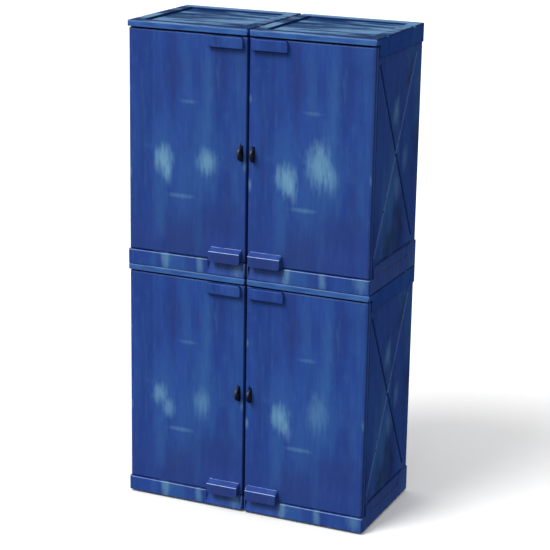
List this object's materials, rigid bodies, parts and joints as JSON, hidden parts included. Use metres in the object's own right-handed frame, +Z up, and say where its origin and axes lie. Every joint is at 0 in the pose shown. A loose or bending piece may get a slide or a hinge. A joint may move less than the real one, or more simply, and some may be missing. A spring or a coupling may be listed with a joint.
{
  "type": "modular locker cabinet",
  "caption": "Tall blue moulded-plastic locker cabinet of stacked modules side by side, with hinged doors, cross-ribbed sides, hooded pulls, padlock tabs and sump bases.",
  "frame": {"origin": "bottom centre of the whole cabinet's bounding box, on the floor", "axes": "+X to the right seen from the front, +Y to the back, +Z up; the doors face -Y"},
  "size_m": [0.914, 0.48, 1.728],
  "materials": {
    "shell": "moulded blue polyethylene, semi-matt, mottled",
    "door": "moulded blue polyethylene, semi-matt, with soft scuffs",
    "panel": "moulded blue polyethylene, semi-matt, streaked",
    "shelf": "moulded blue polyethylene, semi-matt",
    "pin_nylon": "dark nylon",
    "bush_nylon": "dark nylon",
    "tab_polymer": "dark moulded polymer"
  },
  "bodies": {
    "cabinet": {"upper_left_base": "shell", "upper_left_lid": "shell", "upper_left_outer_side": "panel", "upper_left_inner_side": "panel", "upper_left_back": "panel", "upper_left_shelf": "shelf", "upper_left_hinge_pins": "pin_nylon", "upper_left_lock_tab": "tab_polymer", "upper_left_panel_pins": "pin_nylon", "upper_right_base": "shell", "upper_right_lid": "shell", "upper_right_outer_side": "panel", "upper_right_inner_side": "panel", "upper_right_back": "panel", "upper_right_shelf": "shelf", "upper_right_hinge_pins": "pin_nylon", "upper_right_lock_tab": "tab_polymer", "upper_right_panel_pins": "pin_nylon", "lower_left_base": "shell", "lower_left_lid": "shell", "lower_left_outer_side": "panel", "lower_left_inner_side": "panel", "lower_left_back": "panel", "lower_left_shelf": "shelf", "lower_left_hinge_pins": "pin_nylon", "lower_left_lock_tab": "tab_polymer", "lower_left_panel_pins": "pin_nylon", "lower_right_base": "shell", "lower_right_lid": "shell", "lower_right_outer_side": "panel", "lower_right_inner_side": "panel", "lower_right_back": "panel", "lower_right_shelf": "shelf", "lower_right_hinge_pins": "pin_nylon", "lower_right_lock_tab": "tab_polymer", "lower_right_panel_pins": "pin_nylon", "column_clips": "tab_polymer"},
    "upper_left_door": {"upper_left_door": "door", "upper_left_hinge_bushes": "bush_nylon"},
    "upper_right_door": {"upper_right_door": "door", "upper_right_hinge_bushes": "bush_nylon"},
    "lower_left_door": {"lower_left_door": "door", "lower_left_hinge_bushes": "bush_nylon"},
    "lower_right_door": {"lower_right_door": "door", "lower_right_hinge_bushes": "bush_nylon"}
  },
  "joints": [
    {"name": "upper_left_hinge", "type": "hinge", "parent": "cabinet", "child": "upper_left_door", "pos_m": [-0.44, -0.197, 1.313], "axis": [0, 0, -1], "range_deg": [0, 170]},
    {"name": "upper_right_hinge", "type": "hinge", "parent": "cabinet", "child": "upper_right_door", "pos_m": [0.44, -0.197, 1.313], "axis": [0, 0, 1], "range_deg": [0, 170]},
    {"name": "lower_left_hinge", "type": "hinge", "parent": "cabinet", "child": "lower_left_door", "pos_m": [-0.44, -0.197, 0.453], "axis": [0, 0, -1], "range_deg": [0, 170]},
    {"name": "lower_right_hinge", "type": "hinge", "parent": "cabinet", "child": "lower_right_door", "pos_m": [0.44, -0.197, 0.453], "axis": [0, 0, 1], "range_deg": [0, 170]}
  ]
}
